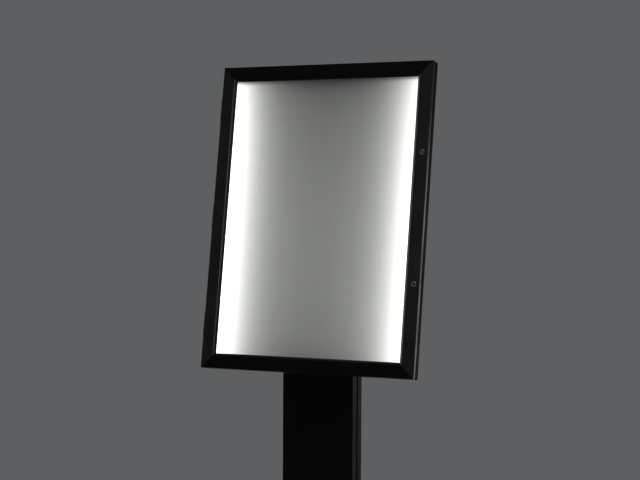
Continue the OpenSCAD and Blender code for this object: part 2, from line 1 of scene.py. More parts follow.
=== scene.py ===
import json
import math
import bpy
from mathutils import Matrix, Vector


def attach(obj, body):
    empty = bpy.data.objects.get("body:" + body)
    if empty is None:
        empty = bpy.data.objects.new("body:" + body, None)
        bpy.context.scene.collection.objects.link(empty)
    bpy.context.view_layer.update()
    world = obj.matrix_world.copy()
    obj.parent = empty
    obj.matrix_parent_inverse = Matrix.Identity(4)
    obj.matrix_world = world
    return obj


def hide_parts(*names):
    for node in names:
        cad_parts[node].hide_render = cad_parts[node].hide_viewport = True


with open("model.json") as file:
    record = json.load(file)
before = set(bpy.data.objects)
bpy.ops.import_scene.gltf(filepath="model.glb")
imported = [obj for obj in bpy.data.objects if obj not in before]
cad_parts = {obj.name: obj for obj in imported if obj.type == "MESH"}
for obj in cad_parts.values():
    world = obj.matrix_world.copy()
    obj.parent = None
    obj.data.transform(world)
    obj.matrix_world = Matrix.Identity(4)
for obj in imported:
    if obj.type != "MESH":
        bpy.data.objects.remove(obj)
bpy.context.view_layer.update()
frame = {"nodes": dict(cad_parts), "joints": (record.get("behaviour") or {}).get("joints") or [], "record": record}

# ---------------------------------------------------------------------------
# Camera: a short telephoto at chest height, to the right of the display. Its
# place is counted from the lower edge of the tilted head, whose own directions
# come from the door hinge's axis and the two lock axes.
# ---------------------------------------------------------------------------
joints = {joint["name"]: joint for joint in frame["joints"]}
across = Vector((1, 0, 0))
up_door = -Vector(joints["door_hinge"]["axis"]).normalized()
lock_high = Vector(joints["lock_upper_turn"]["pos_m"])
lock_low = Vector(joints["lock_lower_turn"]["pos_m"])
door_middle = (lock_high + lock_low) / 2
door_middle.x = 0


def reach(node, direction):
    """Lowest and highest place of a CAD node along a direction, from the middle of the door's face."""
    along = [(v.co - door_middle).dot(direction) for v in frame["nodes"][node].data.vertices]
    return min(along), max(along)


lower_edge = door_middle + up_door * reach("door_stile_right", up_door)[0]
azimuth, pitch, roll = (math.radians(a) for a in (23.697, 2.469, 0.299))
AIM_OFF_EDGE, CAMERA_BACK = Vector((0.0353, 0, 0.3381)), 2.8403
LENS_MM, LENS_SHIFT = 80.58, 0.0406
camera_place = lower_edge + AIM_OFF_EDGE + CAMERA_BACK * Vector(
    (math.sin(azimuth), -math.cos(azimuth), 0))
camera = bpy.data.objects.new("camera", bpy.data.cameras.new("camera"))
camera.data.lens = LENS_MM
camera.data.shift_y = LENS_SHIFT
camera.matrix_world = (Matrix.Translation(camera_place) @ Matrix.Rotation(azimuth, 4, "Z")
                       @ Matrix.Rotation(math.pi / 2 - pitch, 4, "X") @ Matrix.Rotation(roll, 4, "Z"))
bpy.context.scene.collection.objects.link(camera)
bpy.context.scene.camera = camera
bpy.context.scene.view_settings.view_transform = "Standard"

# ---------------------------------------------------------------------------
# Studio: a round pale floor, an even grey surround, soft boxes overhead, high in
# front and high behind, and a low strip behind on the right for the door's side.
# Nothing bright stands where the glazing would mirror it.
# ---------------------------------------------------------------------------


def linear(hex_colour):
    """An sRGB hex colour as linear red, green, blue and alpha."""
    channels = [int(hex_colour[i:i + 2], 16) / 255 for i in (1, 3, 5)]
    return [c / 12.92 if c <= 0.04045 else ((c + 0.055) / 1.055) ** 2.4 for c in channels] + [1.0]


def add(material, kind, inputs=None, **settings):
    """Adds a node to a material; an input takes a value or another node's output socket."""
    node = material.node_tree.nodes.new(kind)
    for name, value in settings.items():
        setattr(node, name, value)
    for name, value in (inputs or {}).items():
        if isinstance(value, bpy.types.NodeSocket):
            material.node_tree.links.new(value, node.inputs[name])
        else:
            node.inputs[name].default_value = value
    return node


def surface(name, periods, turn=0.0, centre=(0, 0, 0), **shader):
    """A new material: its shader, and Object coordinates counted in periods given in mm."""
    material = bpy.data.materials.new(name)
    material.use_nodes = True
    material.node_tree.nodes.clear()
    place = add(material, "ShaderNodeTexCoord").outputs["Object"]
    mapping = add(material, "ShaderNodeMapping", {
        "Vector": place, "Location": centre, "Rotation": (turn, 0, 0),
        "Scale": [period / 1000 for period in periods]}, vector_type="TEXTURE")
    principled = add(material, "ShaderNodeBsdfPrincipled", {
        key.replace("_", " "): value for key, value in shader.items()})
    add(material, "ShaderNodeOutputMaterial", {"Surface": principled.outputs["BSDF"]})
    return material, mapping.outputs["Vector"], principled


def join(material, output, node, name):
    """Feeds an output into one of a node's inputs."""
    material.node_tree.links.new(output, node.inputs[name])


FLOOR_RADIUS, FLOOR_THICK = 2.4, 0.02
bpy.ops.object.select_all(action="DESELECT")
bpy.ops.mesh.primitive_cylinder_add(
    vertices=96, radius=FLOOR_RADIUS, depth=FLOOR_THICK, location=(0, 0, -FLOOR_THICK / 2))
floor = bpy.context.object
floor.name = "studio_floor"
# Rolled matt floor paint: a pale, shadow-catching grey with soft clouds a few centimetres across.
floor_paint, floor_place, floor_shader = surface("pale_studio_floor", (30, 30, 30), Roughness=0.75)
cloud = add(floor_paint, "ShaderNodeTexNoise", {"Vector": floor_place, "Scale": 1.0, "Detail": 4.0})
shade = add(floor_paint, "ShaderNodeMix", {
    "Factor": cloud.outputs["Fac"], "A": linear("#b9bab8"), "B": linear("#c2c3c1")}, data_type="RGBA")
join(floor_paint, shade.outputs["Result"], floor_shader, "Base Color")
floor.data.materials.append(floor_paint)

world = bpy.data.worlds.new("grey_surround")
world.use_nodes = True
surround = world.node_tree.nodes["Background"]
surround.inputs["Color"].default_value = linear("#6e7072")
surround.inputs["Strength"].default_value = 0.7
bpy.context.scene.world = world


def soft_box(name, place, target, width, height, power):
    """An area light in watts at a place, turned to a target, sized in metres."""
    light = bpy.data.lights.new(name, "AREA")
    light.shape = "RECTANGLE"
    light.size, light.size_y, light.energy = width, height, power
    lamp = bpy.data.objects.new(name, light)
    lamp.location = place
    lamp.rotation_euler = (Vector(target) - Vector(place)).to_track_quat("-Z", "Y").to_euler()
    lamp.visible_camera = False
    bpy.context.scene.collection.objects.link(lamp)
    return lamp


soft_box("overhead_box", (0.0, 0.2, 3.2), (0, 0, 0.6), 2.4, 2.4, 22)
soft_box("front_high_box", (0.8, -1.3, 3.4), (0, 0, 0.9), 1.6, 1.0, 15)
soft_box("rear_high_box", (-0.6, 2.3, 2.6), (0, 0, 0.9), 2.0, 1.2, 34)
soft_box("right_rear_strip", (1.15, 2.6, 0.75), (0.2, 0, 0.9), 0.3, 1.1, 2.6)

# ---------------------------------------------------------------------------
# Rubber sheet and base plate: an EPDM non-slip sheet bonded under a laser-cut
# 8 mm steel plate with round corners, powder-coated in fine-texture black.
# The steel screws that pull the post down sit in counterbores from below.
# ---------------------------------------------------------------------------
BODY_OF = {node: body for body, members in frame["record"]["behaviour"]["bodies"].items()
           for node in members}


def stand_for(piece, node):
    """Lets a finished piece stand for a CAD node, on that node's body."""
    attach(piece, BODY_OF[node])
    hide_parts(node)


def select_only(piece):
    """Deselects everything, then selects one piece and makes it active."""
    bpy.ops.object.select_all(action="DESELECT")
    piece.select_set(True)
    bpy.context.view_layer.objects.active = piece


def apply_modifier(piece, kind, **settings):
    """Adds a modifier to the active piece and applies it."""
    modifier = piece.modifiers.new(kind.lower(), kind)
    for name, value in settings.items():
        setattr(modifier, name, value)
    bpy.ops.object.modifier_apply(modifier=modifier.name)


SAME_POINT, FLAT_ANGLE = 0.000002, math.radians(0.4)


def merged_copy(node):
    """A copy of a CAD node's solids with their loose triangles merged into whole faces."""
    piece = bpy.data.objects.new(node + "_finished", frame["nodes"][node].data.copy())
    bpy.context.scene.collection.objects.link(piece)
    select_only(piece)
    bpy.ops.object.mode_set(mode="EDIT")
    bpy.ops.mesh.select_all(action="SELECT")
    bpy.ops.mesh.remove_doubles(threshold=SAME_POINT)
    bpy.ops.mesh.dissolve_limited(angle_limit=FLAT_ANGLE)
    bpy.ops.object.mode_set(mode="OBJECT")
    return piece


SHARP_ANGLE, SMOOTH_ANGLE = math.radians(35), math.radians(30)


def broken_edges(node, material, edge_mm, segments=2):
    """A CAD node's solids with a finish, and with every sharp edge rounded by edge_mm."""
    piece = merged_copy(node)
    piece.data.materials.clear()
    piece.data.materials.append(material)
    apply_modifier(piece, "BEVEL", width=edge_mm / 1000, segments=segments, limit_method="ANGLE",
                   angle_limit=SHARP_ANGLE, use_clamp_overlap=True)
    bpy.ops.object.shade_smooth_by_angle(angle=SMOOTH_ANGLE)
    apply_modifier(piece, "WEIGHTED_NORMAL", weight=90, keep_sharp=True)
    stand_for(piece, node)
    return piece


# Black EPDM rubber, calendered: a dull charcoal skin with a fine leathery grain, about 0.3 mm
# on the real sheet and drawn at 0.8 mm so that it shows.
rubber, rubber_place, rubber_shader = surface("black_epdm_rubber", (0.8, 0.8, 0.8), Roughness=0.82)
rubber_grain = add(rubber, "ShaderNodeTexNoise", {"Vector": rubber_place, "Scale": 1.0, "Detail": 5.0})
rubber_shade = add(rubber, "ShaderNodeMix", {
    "Factor": rubber_grain.outputs["Fac"], "A": linear("#101010"), "B": linear("#1d1d1c")},
    data_type="RGBA")
rubber_bump = add(rubber, "ShaderNodeBump", {
    "Height": rubber_grain.outputs["Fac"], "Strength": 0.5, "Distance": 0.0002})
join(rubber, rubber_shade.outputs["Result"], rubber_shader, "Base Color")
join(rubber, rubber_bump.outputs["Normal"], rubber_shader, "Normal")
broken_edges("base_pad", rubber, 0.4)


def powder_coat(name, grain_mm, turn=0.0):
    """Fine-texture black polyester powder coat: an even matt pebble of cured powder, softly rubbed."""
    # The real pebble is about 0.3 mm and is drawn coarser so that it shows; the rubbed patches in
    # its gloss are about 110 mm across.
    material, place, shader = surface(name, (grain_mm,) * 3, turn, Specular_IOR_Level=0.4)
    pebble = add(material, "ShaderNodeTexNoise", {"Vector": place, "Scale": 1.0, "Detail": 3.0})
    rub_place = add(material, "ShaderNodeTexCoord").outputs["Object"]
    rub = add(material, "ShaderNodeTexNoise", {"Vector": rub_place, "Scale": 9.0, "Detail": 5.0})
    shade = add(material, "ShaderNodeMix", {
        "Factor": rub.outputs["Fac"], "A": linear("#08080a"), "B": linear("#0e0e10")}, data_type="RGBA")
    gloss = add(material, "ShaderNodeMapRange", {
        "Value": rub.outputs["Fac"], "From Min": 0.3, "From Max": 0.7, "To Min": 0.46, "To Max": 0.58})
    bump = add(material, "ShaderNodeBump", {
        "Height": pebble.outputs["Fac"], "Strength": 0.35, "Distance": 0.00012})
    join(material, shade.outputs["Result"], shader, "Base Color")
    join(material, gloss.outputs["Result"], shader, "Roughness")
    join(material, bump.outputs["Normal"], shader, "Normal")
    return material


coated_steel = powder_coat("black_powder_coated_steel", 1.1)
broken_edges("base_plate", coated_steel, 0.9, 3)


def plated_steel(name, period_mm, tint_low, tint_high):
    """Bright zinc plating on turned or pressed steel: cool metal, with clouds a few mm across."""
    material, place, shader = surface(name, (period_mm,) * 3, Metallic=1.0)
    cloud = add(material, "ShaderNodeTexNoise", {"Vector": place, "Scale": 1.0, "Detail": 6.0})
    shade = add(material, "ShaderNodeMix", {
        "Factor": cloud.outputs["Fac"], "A": linear(tint_low), "B": linear(tint_high)}, data_type="RGBA")
    gloss = add(material, "ShaderNodeMapRange", {
        "Value": cloud.outputs["Fac"], "From Min": 0.3, "From Max": 0.7, "To Min": 0.26, "To Max": 0.42})
    bump = add(material, "ShaderNodeBump", {
        "Height": cloud.outputs["Fac"], "Strength": 0.15, "Distance": 0.0001})
    join(material, shade.outputs["Result"], shader, "Base Color")
    join(material, gloss.outputs["Result"], shader, "Roughness")
    join(material, bump.outputs["Normal"], shader, "Normal")
    return material


zinc = plated_steel("zinc_plated_steel", 2.5, "#9fa3a6", "#c6c9cb")
broken_edges("base_screws", zinc, 0.3)

# ---------------------------------------------------------------------------
# Post: two hollow aluminium extrusions with a groove down the outer side, and
# two flat panels slid into their inner slots. All satin black; drawing leaves
# very faint lines along the length. Cast end blocks take the screws.
# ---------------------------------------------------------------------------


def extrusion_black(name, periods, smooth, mirror, turn=0.0):
    """Black coated aluminium extrusion: faint die lines along its length under an even satin film."""
    # Real die lines are about 0.2 mm apart and are drawn at about 1 mm so that they show. The film's
    # gloss drifts over about 70 mm, and its orange peel is about 1 mm across.
    material, place, shader = surface(name, periods, turn, Specular_IOR_Level=mirror)
    lines = add(material, "ShaderNodeTexNoise", {"Vector": place, "Scale": 1.0, "Detail": 3.0})
    wide_place = add(material, "ShaderNodeTexCoord").outputs["Object"]
    film = add(material, "ShaderNodeTexNoise", {"Vector": wide_place, "Scale": 14.0, "Detail": 4.0})
    peel = add(material, "ShaderNodeTexNoise", {"Vector": wide_place, "Scale": 900.0, "Detail": 2.0})
    shade = add(material, "ShaderNodeMix", {
        "Factor": film.outputs["Fac"], "A": linear("#050506"), "B": linear("#0a0a0b")}, data_type="RGBA")
    gloss = add(material, "ShaderNodeMapRange", {
        "Value": film.outputs["Fac"], "From Min": 0.3, "From Max": 0.7,
        "To Min": smooth, "To Max": smooth + 0.1})
    ridges = add(material, "ShaderNodeBump", {
        "Height": lines.outputs["Fac"], "Strength": 0.12, "Distance": 0.0001})
    bump = add(material, "ShaderNodeBump", {
        "Height": peel.outputs["Fac"], "Strength": 0.10, "Distance": 0.0001,
        "Normal": ridges.outputs["Normal"]})
    join(material, shade.outputs["Result"], shader, "Base Color")
    join(material, gloss.outputs["Result"], shader, "Roughness")
    join(material, bump.outputs["Normal"], shader, "Normal")
    return material


post_black = extrusion_black("matt_black_post_extrusion", (0.8, 0.8, 160), smooth=0.46, mirror=0.11)
for side in ("left", "right"):
    broken_edges("upright_" + side, post_black, 0.5, 3)
panel_black = extrusion_black("matt_black_post_panel", (1.1, 1.1, 200), smooth=0.46, mirror=0.1)
broken_edges("post_front_panel", panel_black, 0.3)
broken_edges("post_rear_panel", panel_black, 0.3)


def milled_aluminium(name, periods, turn=0.0):
    """Saw-cut and milled aluminium: bright metal with parallel tool lines about 0.5 mm apart."""
    material, place, shader = surface(name, periods, turn, Metallic=1.0)
    lines = add(material, "ShaderNodeTexNoise", {"Vector": place, "Scale": 1.0, "Detail": 4.0})
    shade = add(material, "ShaderNodeMix", {
        "Factor": lines.outputs["Fac"], "A": linear("#a4a6a8"), "B": linear("#c9cbcc")}, data_type="RGBA")
    gloss = add(material, "ShaderNodeMapRange", {
        "Value": lines.outputs["Fac"], "From Min": 0.3, "From Max": 0.7, "To Min": 0.34, "To Max": 0.5})
    bump = add(material, "ShaderNodeBump", {
        "Height": lines.outputs["Fac"], "Strength": 0.3, "Distance": 0.0001})
    join(material, shade.outputs["Result"], shader, "Base Color")
    join(material, gloss.outputs["Result"], shader, "Roughness")
    join(material, bump.outputs["Normal"], shader, "Normal")
    return material


raw_aluminium = milled_aluminium("milled_aluminium", (30, 0.5, 30))
broken_edges("foot_blocks", raw_aluminium, 0.4)
broken_edges("post_top_blocks", raw_aluminium, 0.4)
broken_edges("post_cap", coated_steel, 0.5, 3)

# ---------------------------------------------------------------------------
# Tilt hinge: a cut and welded steel yoke screwed down on the post, a zinc
# plated pivot bolt with a lock nut and washers, and the head's bracket whose
# lugs turn between the yoke's ears. Friction in the washers holds the head.
# ---------------------------------------------------------------------------
into_case = up_door.cross(across)
broken_edges("tilt_yoke", coated_steel, 0.6, 3)
# Each ear is welded down along both faces: a rippled fillet under the powder coat.
EAR_FACES, EAR_FOOT_Z = (0.040, 0.046), 0.970
WELD_R, WELD_PITCH, WELD_COUNT, WELD_NARROWED = 0.0026, 0.0018, 17, 0.7
bpy.ops.object.select_all(action="DESELECT")
bpy.ops.mesh.primitive_uv_sphere_add(segments=12, ring_count=8, radius=WELD_R, location=(0, 0, 0))
ripple = bpy.context.object
ripple.name = "yoke_welds"
ripple.data.materials.append(coated_steel)
bpy.ops.object.mode_set(mode="EDIT")
bpy.ops.mesh.select_all(action="SELECT")
bpy.ops.transform.resize(value=(1.0, WELD_NARROWED, 1.0))
bpy.ops.transform.translate(value=(0, -WELD_PITCH * (WELD_COUNT - 1) / 2, 0))
bpy.ops.object.mode_set(mode="OBJECT")
apply_modifier(ripple, "ARRAY", count=WELD_COUNT, use_relative_offset=False, use_constant_offset=True,
               constant_offset_displace=(0, WELD_PITCH, 0))
bpy.ops.object.shade_smooth()
beads = []
for side in (-1, 1):
    for face in EAR_FACES:
        bead = ripple.copy()
        bead.data = ripple.data.copy()
        bead.data.transform(Matrix.Translation((side * face, 0, EAR_FOOT_Z)))
        bpy.context.scene.collection.objects.link(bead)
        beads.append(bead)
bpy.data.objects.remove(ripple)
select_only(beads[0])
for bead in beads[1:]:
    bead.select_set(True)
bpy.ops.object.join()
yoke_welds = bpy.context.object
yoke_welds.name = "yoke_welds"
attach(yoke_welds, "stand")
broken_edges("yoke_screws", zinc, 0.35)
broken_edges("pivot_bolt", zinc, 0.4)
broken_edges("pivot_nut", zinc, 0.5)
broken_edges("pivot_washers", zinc, 0.2)
broken_edges("head_bracket", coated_steel, 0.5, 3)


def set_out(model, node, axis, level):
    """Copies of a modelled piece, its origin at the end along axis of each solid of a CAD node."""
    aside = axis.cross(level)
    merged_copy(node)
    bpy.ops.object.mode_set(mode="EDIT")
    bpy.ops.mesh.separate(type="LOOSE")
    bpy.ops.object.mode_set(mode="OBJECT")
    solids = list(bpy.context.selected_objects)
    copies = []
    for solid in solids:
        middle = Vector()
        for way, share in ((aside, 0.5), (level, 0.5), (axis, 0.0)):
            along = [v.co.dot(way) for v in solid.data.vertices]
            middle += way * (share * min(along) + (1 - share) * max(along))
        placed = model.copy()
        placed.data = model.data.copy()
        turned = Matrix((level.cross(axis), level, axis)).transposed().to_4x4()
        placed.data.transform(Matrix.Translation(middle) @ turned)
        bpy.context.scene.collection.objects.link(placed)
        copies.append(placed)
    for solid in solids:
        bpy.data.objects.remove(solid)
    select_only(copies[0])
    for placed in copies[1:]:
        placed.select_set(True)
    bpy.ops.object.join()
    whole = bpy.context.object
    whole.name = node + "_finished"
    bpy.data.objects.remove(model)
    stand_for(whole, node)


# Shares of a screw head's depth that are domed and recessed, and of its recess's length that each
# slot is wide. The shank starts a little inside the head, in mm.
DOME_SHARE, RECESS_SHARE, SLOT_SHARE = 0.62, 0.55, 0.24
SHANK_SUNK = 0.05
# A face whose normal rises more than this is a top face.
FACING_UP = 0.9


def cross_head_screw(name, material, head, head_deep, shank, shank_long, recess):
    """A cold-headed pan screw in mm, its head's top at the origin: a domed head with a cross recess."""
    bpy.ops.object.select_all(action="DESELECT")
    bpy.ops.mesh.primitive_cylinder_add(
        vertices=32, radius=head / 1000, depth=head_deep / 1000, location=(0, 0, -head_deep / 2000))
    screw = bpy.context.object
    screw.name = name
    bpy.ops.object.mode_set(mode="EDIT")
    bpy.ops.mesh.select_all(action="DESELECT")
    bpy.ops.object.mode_set(mode="OBJECT")
    for face in screw.data.polygons:
        face.select = face.normal.z > FACING_UP
    bpy.ops.object.mode_set(mode="EDIT")
    bpy.ops.mesh.select_mode(type="FACE")
    bpy.ops.mesh.bevel(offset=DOME_SHARE * head_deep / 1000, segments=4, affect="EDGES")
    bpy.ops.mesh.select_all(action="SELECT")
    bpy.ops.mesh.normals_make_consistent(inside=False)
    bpy.ops.object.mode_set(mode="OBJECT")
    bpy.ops.object.select_all(action="DESELECT")
    bpy.ops.mesh.primitive_cube_add(size=0.001, location=(0, 0, 0))
    cutter = bpy.context.object
    bpy.ops.object.mode_set(mode="EDIT")
    bpy.ops.mesh.select_all(action="SELECT")
    # The cutter is centred on the head's top, so half of its height cuts.
    bpy.ops.transform.resize(value=(recess, SLOT_SHARE * recess, 2 * RECESS_SHARE * head_deep))
    bpy.ops.mesh.duplicate()
    bpy.ops.transform.rotate(value=math.pi / 2, orient_axis="Z", center_override=(0, 0, 0))
    bpy.ops.object.mode_set(mode="OBJECT")
    select_only(screw)
    apply_modifier(screw, "BOOLEAN", operation="DIFFERENCE", solver="EXACT", use_self=True, object=cutter)
    bpy.data.objects.remove(cutter)
    bpy.ops.object.select_all(action="DESELECT")
    bpy.ops.mesh.primitive_cylinder_add(
        vertices=20, radius=shank / 1000, depth=shank_long / 1000,
        location=(0, 0, -(head_deep - SHANK_SUNK + shank_long / 2) / 1000))
    bpy.ops.object.transform_apply(location=True)
    screw.select_set(True)
    bpy.context.view_layer.objects.active = screw
    bpy.ops.object.join()
    bpy.ops.object.transform_apply(location=True)
    screw.data.materials.clear()
    screw.data.materials.append(material)
    bpy.ops.object.shade_smooth_by_angle(angle=SMOOTH_ANGLE)
    return screw


set_out(cross_head_screw("bracket_screw", zinc, 3.8, 2.0, 2.0, 5.0, 4.2), "bracket_screws",
        into_case, up_door)

# ---------------------------------------------------------------------------
# Light case: four mitred aluminium extrusions with flat corner cleats, closed
# at the back by a black coated sheet held by pan-head screws.
# ---------------------------------------------------------------------------
lean = math.atan2(up_door.y, up_door.z)
case_stile_black = extrusion_black(
    "matt_black_case_stile", (0.7, 0.7, 140), smooth=0.56, mirror=0.1, turn=-lean)
case_rail_black = extrusion_black(
    "matt_black_case_rail", (140, 0.7, 0.7), smooth=0.56, mirror=0.1, turn=-lean)
for end in ("bottom", "top"):
    broken_edges("case_rail_" + end, case_rail_black, 0.3)
for side in ("left", "right"):
    broken_edges("case_stile_" + side, case_stile_black, 0.3)
cleat_aluminium = milled_aluminium("milled_cleat_aluminium", (20, 20, 0.6), -lean)
broken_edges("case_corner_cleats", cleat_aluminium, 0.2)
sheet_black = powder_coat("black_powder_coated_sheet", 0.9, -lean)
broken_edges("back_panel", sheet_black, 0.3)
set_out(cross_head_screw("back_screw", zinc, 3.0, 1.5, 1.5, 2.0, 3.3), "back_panel_screws",
        into_case, up_door)

# ---------------------------------------------------------------------------
# White liner: a satin white polystyrene sheet that spreads the side lights.
# Their light on it is painted into its emission: brightest beside the two light
# strips, falling off towards the middle and a little towards the top and bottom,
# where the strips end. The shadow under the door's top rail is painted in too.
# ---------------------------------------------------------------------------
HALF_WINDOW_U, HALF_WINDOW_W = 0.202, 0.2855
# Extruded satin polystyrene: a soft white skin that spreads light evenly, with a barely seen grain,
# about 1.4 mm across. Its coordinates are in metres, for the painted light that falls off across it.
liner_white, liner_place, liner_shader = surface(
    "lit_white_polystyrene", (1000, 1000, 1000), -lean, door_middle, Roughness=0.45,
    Emission_Color=linear("#fffffa"))
split = add(liner_white, "ShaderNodeSeparateXYZ", {"Vector": liner_place})
# Heights and widths at which the light changes, from the window's own edges.
below_top = add(liner_white, "ShaderNodeMath", {
    0: HALF_WINDOW_W, 1: split.outputs["Z"]}, operation="SUBTRACT").outputs[0]
above_bottom = add(liner_white, "ShaderNodeMath", {
    0: split.outputs["Z"], 1: HALF_WINDOW_W}, operation="ADD").outputs[0]
off_middle = add(liner_white, "ShaderNodeMath", {0: split.outputs["X"]}, operation="ABSOLUTE").outputs[0]
from_side = add(liner_white, "ShaderNodeMath", {
    0: HALF_WINDOW_U, 1: off_middle}, operation="SUBTRACT").outputs[0]


def faded(distance, strength, loss_length):
    """Painted light in the sheet's emission: it starts at a strength at an edge and dies away over a length from
    it, in metres.
    """
    share = add(liner_white, "ShaderNodeMath", {0: distance, 1: -1 / loss_length}, operation="MULTIPLY")
    decay = add(liner_white, "ShaderNodeMath", {0: share.outputs[0]}, operation="EXPONENT")
    return add(liner_white, "ShaderNodeMath", {
        0: decay.outputs[0], 1: strength}, operation="MULTIPLY").outputs[0]


# Painted glow: beside each strip the sheet is brightest; that light is a third as strong every 36 mm further in.
side_top = add(liner_white, "ShaderNodeMath", {
    0: 1.0, 1: faded(below_top, strength=0.35, loss_length=0.16)}, operation="SUBTRACT")
side_light = add(liner_white, "ShaderNodeMath", {
    0: faded(from_side, strength=2.33, loss_length=0.033), 1: side_top.outputs[0]}, operation="MULTIPLY")
# The painted light spread all over the sheet is weaker towards the top and the bottom, past the strips' ends.
EVEN_SPREAD = 0.159
spread_top = add(liner_white, "ShaderNodeMath", {
    0: EVEN_SPREAD, 1: faded(below_top, strength=0.146, loss_length=0.22)}, operation="SUBTRACT")
spread_bottom = add(liner_white, "ShaderNodeMath", {
    0: 1.0, 1: faded(above_bottom, strength=0.5, loss_length=0.09)}, operation="SUBTRACT")
spread_light = add(liner_white, "ShaderNodeMath", {
    0: spread_top.outputs[0], 1: spread_bottom.outputs[0]}, operation="MULTIPLY")
all_light = add(liner_white, "ShaderNodeMath", {
    0: side_light.outputs[0], 1: spread_light.outputs[0]}, operation="ADD")
# Painted shadow: the sheet is darkened over the last few millimetres under the door's top rail, where the rail
# shades it.
painted_top_shadow = add(liner_white, "ShaderNodeMapRange", {
    "Value": below_top, "From Min": -0.005, "From Max": 0.006, "To Min": 0.2, "To Max": 1.0},
    interpolation_type="SMOOTHSTEP").outputs["Result"]
painted_glow = add(liner_white, "ShaderNodeMath", {
    0: all_light.outputs[0], 1: painted_top_shadow}, operation="MULTIPLY").outputs[0]
liner_grain = add(liner_white, "ShaderNodeTexNoise", {"Vector": liner_place, "Scale": 700.0, "Detail": 3.0})
liner_shade = add(liner_white, "ShaderNodeMix", {
    "Factor": liner_grain.outputs["Fac"], "A": linear("#c9c9c5"), "B": linear("#d2d2ce")}, data_type="RGBA")
liner_bump = add(liner_white, "ShaderNodeBump", {
    "Height": liner_grain.outputs["Fac"], "Strength": 0.08, "Distance": 0.0001})
# The painted glow is the sheet's emission: it stands in for the strips' light falling on it.
join(liner_white, painted_glow, liner_shader, "Emission Strength")
join(liner_white, liner_shade.outputs["Result"], liner_shader, "Base Color")
join(liner_white, liner_bump.outputs["Normal"], liner_shader, "Normal")
broken_edges("white_liner", liner_white, 0.2)

# ---------------------------------------------------------------------------
# Light strips: white solder-masked aluminium boards stuck to the case's side
# walls, each with a row of lit diodes under an opal snap-on cover.
# ---------------------------------------------------------------------------
# White solder mask over copper: a clean satin white, cut by thin tan joints between its pads.
board_white, board_place, board_shader = surface("white_solder_mask", (4, 4, 10), -lean, Roughness=0.35)
tracks = add(board_white, "ShaderNodeTexBrick", {
    "Vector": board_place, "Color1": linear("#e4e6e2"), "Color2": linear("#d9dbd6"),
    "Mortar": linear("#b9a77a"), "Scale": 1.0, "Mortar Size": 0.02})
join(board_white, tracks.outputs["Color"], board_shader, "Base Color")
# Phosphor cast in silicone: a grainy yellow gel, washed out to warm white by its own light. The real
# grains are far finer than the 0.8 mm drawn.
lit_phosphor, phosphor_place, phosphor_shader = surface(
    "lit_diode_phosphor", (0.8, 0.8, 0.8), -lean, Roughness=0.3,
    Emission_Color=linear("#fffdf3"), Emission_Strength=6.0)
phosphor_grain = add(lit_phosphor, "ShaderNodeTexNoise", {"Vector": phosphor_place, "Scale": 1.0})
phosphor_shade = add(lit_phosphor, "ShaderNodeMix", {
    "Factor": phosphor_grain.outputs["Fac"], "A": linear("#f2e6a0"), "B": linear("#f8f0c4")},
    data_type="RGBA")
join(lit_phosphor, phosphor_shade.outputs["Result"], phosphor_shader, "Base Color")
# Extruded opal polycarbonate: a milky satin skin with faint lines along it, glowing evenly.
opal, opal_place, opal_shader = surface(
    "lit_opal_polycarbonate", (1.5, 1.5, 40), -lean, Roughness=0.4,
    Emission_Color=linear("#fffffc"), Emission_Strength=2.5)
opal_lines = add(opal, "ShaderNodeTexNoise", {"Vector": opal_place, "Scale": 1.0, "Detail": 2.0})
opal_shade = add(opal, "ShaderNodeMix", {
    "Factor": opal_lines.outputs["Fac"], "A": linear("#e9ebe9"), "B": linear("#f4f6f4")}, data_type="RGBA")
join(opal, opal_shade.outputs["Result"], opal_shader, "Base Color")
LED_SIZE_MM, LED_WALL, LED_WELL, LED_EDGE = (2.8, 3.5, 1.0), 0.00035, 0.0003, 0.0001
for side, inward in (("left", across), ("right", -across)):
    broken_edges("led_board_" + side, board_white, 0.1, 1)
    # One surface-mounted package: a white moulded frame round a shallow well of phosphor.
    bpy.ops.object.select_all(action="DESELECT")
    bpy.ops.mesh.primitive_cube_add(size=0.001, location=(0, 0, -0.0005))
    package = bpy.context.object
    package.name = "led_package"
    bpy.ops.object.transform_apply(location=True)
    bpy.ops.object.mode_set(mode="EDIT")
    bpy.ops.mesh.select_all(action="SELECT")
    bpy.ops.transform.resize(value=LED_SIZE_MM, center_override=(0, 0, 0))
    bpy.ops.object.mode_set(mode="OBJECT")
    package.data.materials.append(board_white)
    package.data.materials.append(lit_phosphor)
    for face in package.data.polygons:
        face.select = face.normal.z > FACING_UP
    bpy.ops.object.mode_set(mode="EDIT")
    bpy.ops.mesh.select_mode(type="FACE")
    bpy.ops.mesh.inset(thickness=LED_WALL)
    bpy.ops.mesh.extrude_region_move(TRANSFORM_OT_translate={"value": (0, 0, -LED_WELL)})
    package.active_material_index = 1
    bpy.ops.object.material_slot_assign()
    bpy.ops.object.mode_set(mode="OBJECT")
    apply_modifier(package, "BEVEL", width=LED_EDGE, segments=1, limit_method="ANGLE")
    set_out(package, "leds_" + side, inward, up_door)
    broken_edges("diffuser_" + side, opal, 0.15)

